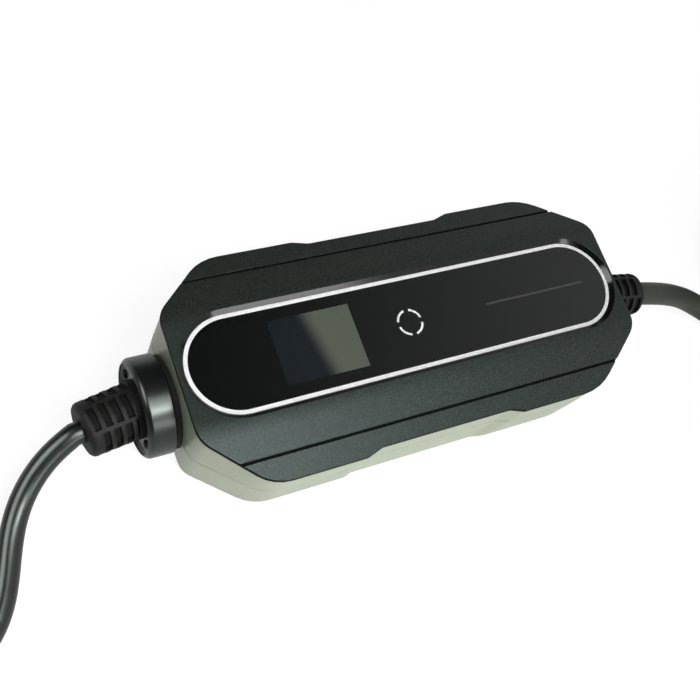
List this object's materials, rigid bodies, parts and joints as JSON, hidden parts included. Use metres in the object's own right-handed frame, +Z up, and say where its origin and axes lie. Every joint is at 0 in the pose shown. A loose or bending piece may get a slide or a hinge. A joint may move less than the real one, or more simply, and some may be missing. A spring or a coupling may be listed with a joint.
{
  "type": "portable electric car charger",
  "caption": "Portable electric car charger: grey and black control box with a display panel, a supply lead with mains plug and a vehicle cable with its connector.",
  "frame": {"origin": "under the middle of the control box, on the surface it lies on", "axes": "+X along the box towards the vehicle cable, +Z up"},
  "size_m": [0.7907, 0.1487, 0.0885],
  "materials": {
    "case_grey": "smooth light grey moulding, fine gloss",
    "cover_black": "fine spark-eroded black moulding",
    "panel_black": "polished black panel",
    "print_white": "smooth white",
    "screen": "polished window over a grey screen",
    "light_clear": "frosted clear",
    "seal_rubber": "dull black",
    "screw_steel": "plain",
    "screw_black": "satin black",
    "gland_black": "satin black moulding",
    "nut_black": "plain moulding",
    "sleeve_rubber": "dull black moulding",
    "lead_black": "smooth glossy sheath",
    "cable_black": "smooth dull sheath",
    "strap": "woven black strap",
    "shell_black": "fine matt black moulding",
    "contact_metal": "nickel plated",
    "board_green": "solder-resist green",
    "component": "plain mouldings",
    "wire": "smooth insulation"
  },
  "bodies": {
    "root": {"lower_case": "case_grey", "upper_case": "case_grey", "top_cover": "cover_black", "panel_lens": "panel_black", "panel_line": "print_white", "key_ring": "print_white", "screen_window": "screen", "light_guide": "light_clear", "case_seal": "seal_rubber", "collar_seal": "seal_rubber", "nose_seal": "seal_rubber", "panel_tape": "seal_rubber", "case_screws": "screw_steel", "display_screws": "screw_steel", "board_screws": "screw_steel", "connector_screws": "screw_steel", "collar_screws": "screw_black", "collar": "gland_black", "collar_nut": "nut_black", "vehicle_nut": "nut_black", "supply_sleeve": "sleeve_rubber", "vehicle_sleeve": "sleeve_rubber", "plug_sleeve": "sleeve_rubber", "connector_sleeve": "sleeve_rubber", "supply_lead": "lead_black", "vehicle_cable": "cable_black", "vehicle_hank": "cable_black", "vehicle_tail": "cable_black", "hank_ties": "strap", "plug_body": "shell_black", "connector_lower_shell": "shell_black", "connector_upper_shell": "shell_black", "connector_insert": "shell_black", "plug_pins": "contact_metal", "earth_clips": "contact_metal", "contact_sleeves": "contact_metal", "main_board": "board_green", "display_board": "board_green", "lcd_module": "component", "touch_pad": "component", "board_link": "component", "line_terminal": "component", "load_terminal": "component", "current_sensor": "component", "relays": "component", "power_module": "component", "filter_capacitors": "component", "supply_wires": "wire", "load_wires": "wire"}
  },
  "joints": []
}
